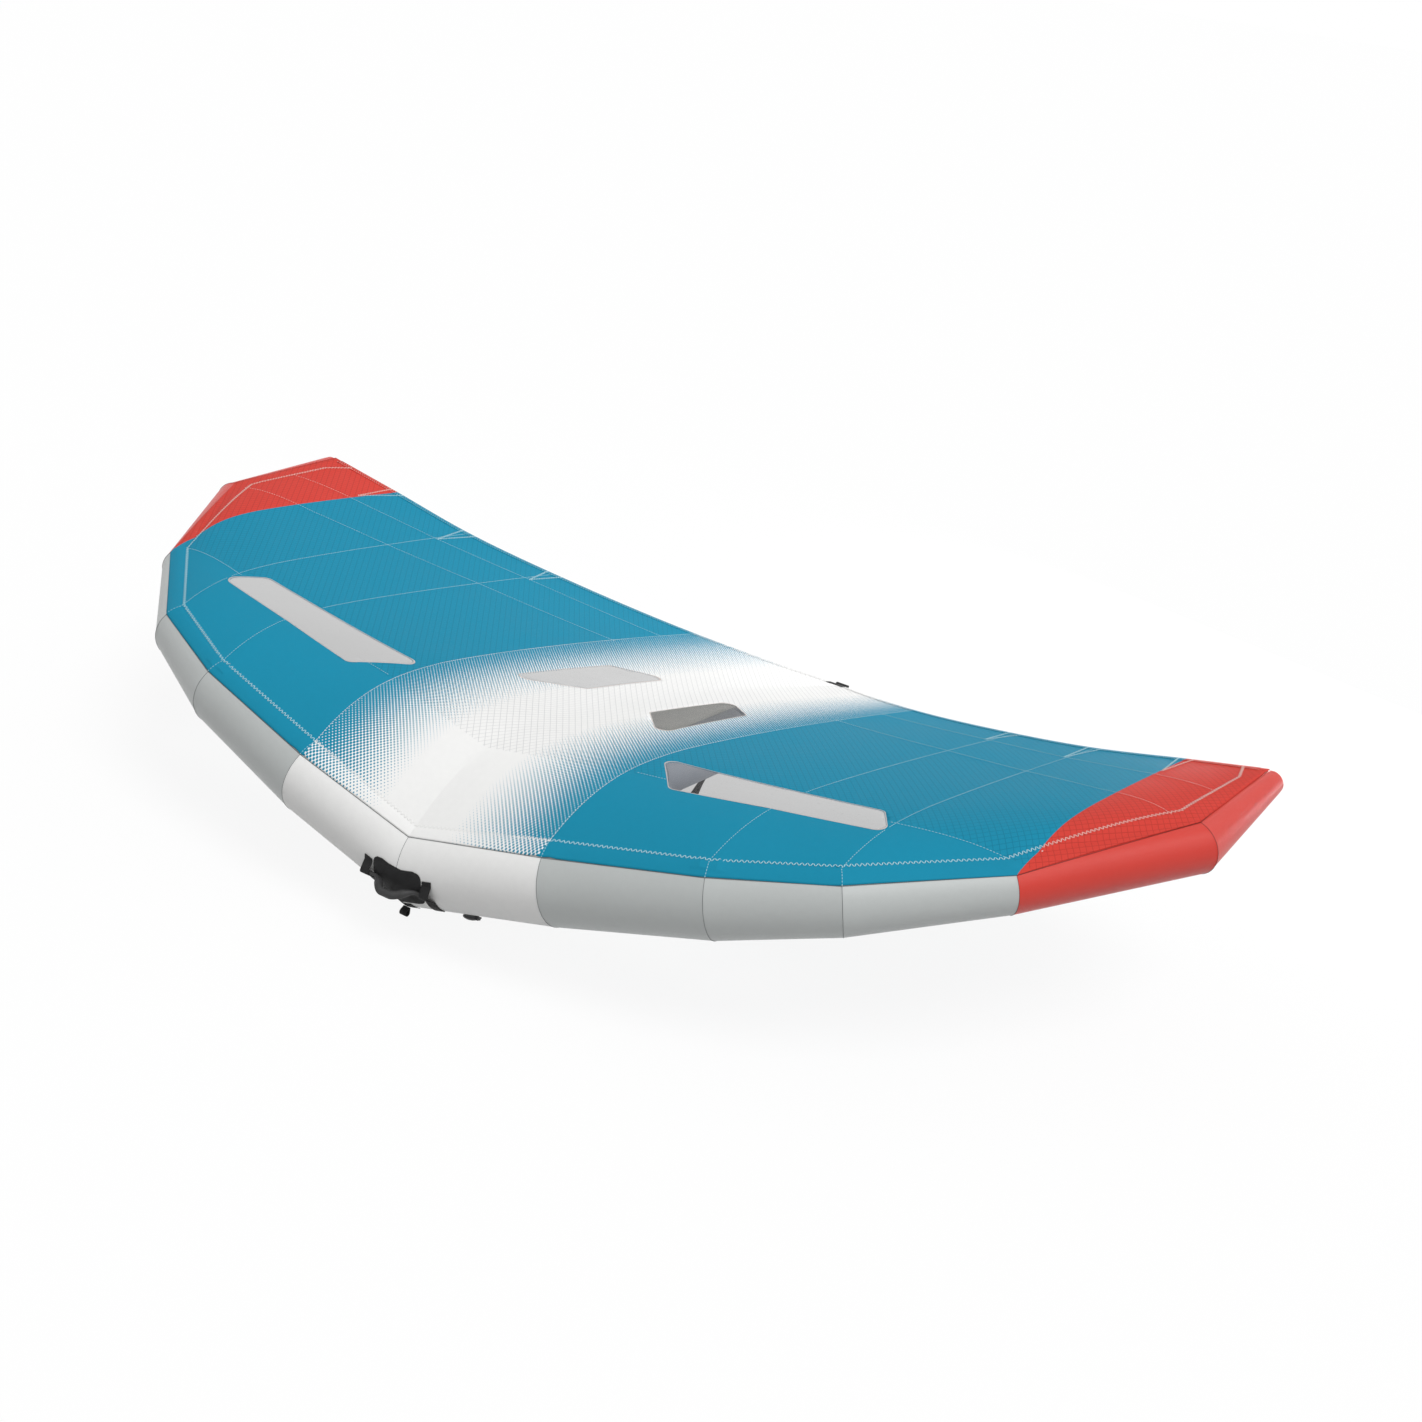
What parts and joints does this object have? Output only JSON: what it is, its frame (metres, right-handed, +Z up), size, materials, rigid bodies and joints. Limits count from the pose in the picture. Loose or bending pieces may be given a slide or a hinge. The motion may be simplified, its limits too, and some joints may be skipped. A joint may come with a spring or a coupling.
{
  "type": "wingfoil wing",
  "caption": "Hand-held inflatable wing: swept leading edge tube, central strut and rib, panelled canopy with windows, swinging handles, leash loop, valve and transfer hose.",
  "frame": {"origin": "middle of the underside of the bounding box, at the level of the two strut handles' undersides", "axes": "+X along the span to the right hand tip as seen from behind and above with the tail away, +Y aft from the leading edge to the tail, +Z up, from the strut to the canopy"},
  "size_m": [3.3096, 2.2102, 0.642],
  "materials": {
    "white_cloth": "woven polyester, matt",
    "grey_cloth": "woven polyester, matt",
    "red_cloth": "woven polyester, matt",
    "blue_cloth": "ripstop polyester, satin",
    "pale_cloth": "woven polyester, matt",
    "window_film": "clear film",
    "bladder_film": "clear film",
    "black_webbing": "woven webbing",
    "black_foam": "foam rubber",
    "black_plastic": "moulded"
  },
  "bodies": {
    "wing": {"leading_edge_right_1": "white_cloth", "leading_edge_left_1": "white_cloth", "leading_edge_right_2": "grey_cloth", "leading_edge_left_2": "grey_cloth", "leading_edge_right_3": "grey_cloth", "leading_edge_left_3": "grey_cloth", "leading_edge_right_4": "grey_cloth", "leading_edge_left_4": "grey_cloth", "leading_edge_right_5": "red_cloth", "leading_edge_left_5": "red_cloth", "leading_edge_right_6": "red_cloth", "leading_edge_left_6": "red_cloth", "bladder_leading_edge": "bladder_film", "strut_casing": "grey_cloth", "bladder_strut": "bladder_film", "strut_rib": "pale_cloth", "canopy_centre": "white_cloth", "canopy_right_inner": "blue_cloth", "canopy_left_inner": "blue_cloth", "canopy_right_middle": "blue_cloth", "canopy_left_middle": "blue_cloth", "canopy_right_outer": "blue_cloth", "canopy_left_outer": "blue_cloth", "canopy_right_tip": "red_cloth", "canopy_left_tip": "red_cloth", "window_right_front": "window_film", "window_left_front": "window_film", "window_right_rear": "window_film", "window_left_rear": "window_film", "front_handle_patch_front": "black_webbing", "front_handle_patch_rear": "black_webbing", "rear_handle_patch_front": "black_webbing", "rear_handle_patch_rear": "black_webbing", "handle_strip_right": "black_webbing", "handle_strip_left": "black_webbing", "handle_pad": "black_webbing", "leash_patch": "black_webbing", "tail_patch": "black_webbing", "valve_body": "black_plastic", "hose_port_leading_edge": "black_plastic", "hose_port_strut": "black_plastic", "transfer_hose": "black_foam", "hose_clamp": "black_plastic"},
    "front_handle": {"front_handle_webbing": "black_webbing", "front_handle_grip": "black_foam"},
    "rear_handle": {"rear_handle_webbing": "black_webbing", "rear_handle_grip": "black_foam"},
    "leading_edge_handle": {"handle_grip": "black_foam"},
    "leash": {"leash_loop": "black_webbing"},
    "tail_tab": {"tail_loop": "black_webbing"},
    "cap": {"valve_cap": "black_plastic"},
    "lever": {"hose_clamp_lever": "black_plastic"}
  },
  "joints": [
    {"name": "front_handle_swing", "type": "hinge", "parent": "wing", "child": "front_handle", "pos_m": [0, -0.54312, 0.0917], "axis": [0, 1, 0], "range_deg": [-80, 80]},
    {"name": "rear_handle_swing", "type": "hinge", "parent": "wing", "child": "rear_handle", "pos_m": [0, 0.02188, 0.0917], "axis": [0, 1, 0], "range_deg": [-80, 80]},
    {"name": "leading_edge_handle_swing", "type": "hinge", "parent": "wing", "child": "leading_edge_handle", "pos_m": [0, -1.0612, 0.16583], "axis": [1, 0, 0], "range_deg": [-45, 45]},
    {"name": "leash_loop_swing", "type": "hinge", "parent": "wing", "child": "leash", "pos_m": [0, -1.00806, 0.08541], "axis": [1, 0, 0], "range_deg": [-60, 60]},
    {"name": "tail_loop_swing", "type": "hinge", "parent": "wing", "child": "tail_tab", "pos_m": [0, 1.09438, 0.1976], "axis": [1, 0, 0], "range_deg": [-70, 70]},
    {"name": "valve_cap_open", "type": "hinge", "parent": "wing", "child": "cap", "pos_m": [0.19287, -0.96787, 0.11328], "axis": [0, -0.9679, 0.2514], "range_deg": [0, 120]},
    {"name": "hose_clamp_open", "type": "hinge", "parent": "wing", "child": "lever", "pos_m": [0.1464, -0.72651, 0.07621], "axis": [-0.1755, 0.9799, 0.0947], "range_deg": [0, 80]}
  ]
}
